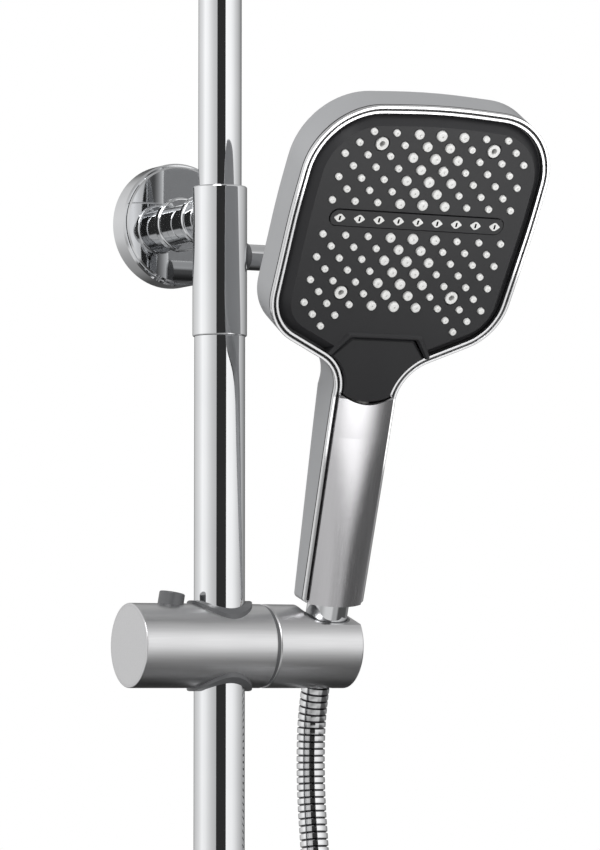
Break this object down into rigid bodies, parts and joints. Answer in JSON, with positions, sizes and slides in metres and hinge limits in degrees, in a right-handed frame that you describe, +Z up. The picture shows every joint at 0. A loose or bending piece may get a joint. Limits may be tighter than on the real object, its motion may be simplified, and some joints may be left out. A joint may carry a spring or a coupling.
{
  "type": "shower riser with hand shower",
  "caption": "Telescopic chrome shower riser on a wall bracket, with a sliding, tilting holder, a rounded-square hand shower with a mode button, and a ribbed metal hose.",
  "frame": {"origin": "centre of the wall flange, on the wall", "axes": "+Z up along the riser, +Y into the wall, +X to the right seen from the front"},
  "size_m": [0.1779, 0.2, 0.6352],
  "materials": {
    "polished_chrome": "polished",
    "satin_chrome": "satin, turned",
    "trim_chrome": "polished plating",
    "satin_cover": "brushed plating",
    "shell_grey": "satin plating",
    "face_black": "matt",
    "nozzle_silicone": "soft",
    "dark_rubber": "soft",
    "brass_fitting": "machined",
    "steel_hardware": "zinc plated",
    "white_plastic": "moulded",
    "hose_metal": "bright, ribbed",
    "tie_black": "moulded"
  },
  "bodies": {
    "frame": {"wall_plate": "steel_hardware", "wall_flange": "polished_chrome", "flange_ring": "polished_chrome", "bracket_arm": "polished_chrome", "arm_nut": "polished_chrome", "riser_sleeve": "polished_chrome", "sleeve_bush": "white_plastic", "lower_riser": "polished_chrome", "knob_washer": "dark_rubber", "bottom_tail": "brass_fitting", "bottom_nut": "polished_chrome", "bottom_washer": "dark_rubber"},
    "riser_top": {"upper_riser": "polished_chrome", "riser_guide": "white_plastic", "guide_o_rings": "dark_rubber", "top_spigot": "polished_chrome"},
    "lock": {"lock_knob": "polished_chrome"},
    "slider": {"slider_body": "satin_chrome", "slider_liner": "dark_rubber", "slider_end_cap": "satin_chrome", "pivot_screw": "steel_hardware", "brake_spring": "steel_hardware", "release_spring": "steel_hardware"},
    "release": {"release_button": "dark_rubber"},
    "brake": {"brake_shoe": "white_plastic"},
    "holder": {"holder_body": "satin_chrome", "seat_insert": "dark_rubber", "friction_ring": "dark_rubber", "pivot_washer": "steel_hardware"},
    "handset": {"handset_shell": "shell_grey", "handset_trim": "trim_chrome", "handle_cover": "satin_cover", "face_plate": "face_black", "nozzle_mat": "nozzle_silicone", "mist_nozzles": "nozzle_silicone", "jet_bar": "face_black", "bar_jets": "nozzle_silicone", "spray_chamber": "white_plastic", "diverter_body": "white_plastic", "mode_spring": "steel_hardware", "water_tube": "white_plastic", "inlet_connector": "brass_fitting", "inlet_washer": "dark_rubber", "hose_nut": "polished_chrome"},
    "mode": {"mode_button": "face_black", "selector_spool": "brass_fitting"},
    "hose": {"hose_free": "hose_metal", "hose_coil": "hose_metal", "hose_tie": "tie_black", "hose_ferrule": "polished_chrome", "hose_end_nut": "polished_chrome", "hose_end_washer": "dark_rubber"}
  },
  "joints": [
    {"name": "riser_height", "type": "slide", "parent": "frame", "child": "riser_top", "axis": [0, 0, 1], "range_m": [-0.08, 0.06]},
    {"name": "lock_turn", "type": "hinge", "parent": "frame", "child": "lock", "pos_m": [0.0143, -0.057, -0.0195], "axis": [1, 0, 0], "range_deg": [0, 270]},
    {"name": "slider_height", "type": "slide", "parent": "frame", "child": "slider", "axis": [0, 0, 1], "range_m": [-0.09, 0.12]},
    {"name": "release_press", "type": "slide", "parent": "slider", "child": "release", "axis": [-0.1736, 0, -0.9848], "range_m": [0, 0.003], "stiffness_N_per_m": 900, "springref_m": -0.004, "deforming": ["release_spring"]},
    {"name": "brake_slide", "type": "slide", "parent": "slider", "child": "brake", "axis": [-1, 0, 0], "range_m": [0, 0.00055]},
    {"name": "holder_tilt", "type": "hinge", "parent": "slider", "child": "holder", "pos_m": [0.0567, -0.057, -0.211], "axis": [1, 0, 0], "range_deg": [-8, 45]},
    {"name": "handset_lift", "type": "slide", "parent": "holder", "child": "handset", "axis": [0, -0.309, 0.9511], "range_m": [0, 0.06]},
    {"name": "mode_press", "type": "slide", "parent": "handset", "child": "mode", "axis": [0, 0.8526, 0.5225], "range_m": [0, 0.002], "stiffness_N_per_m": 1200, "springref_m": -0.003, "deforming": ["mode_spring"]},
    {"name": "hose_hang", "type": "hinge", "parent": "handset", "child": "hose", "pos_m": [0.0567, -0.05391, -0.22051], "axis": [1, 0, 0], "range_deg": [-45, 8], "deforming": ["hose_free"]}
  ],
  "couplings": [
    {"joint": "brake_slide", "follows": "release_press", "ratio": 0.17365},
    {"joint": "hose_hang", "follows": "holder_tilt", "ratio": -1}
  ]
}
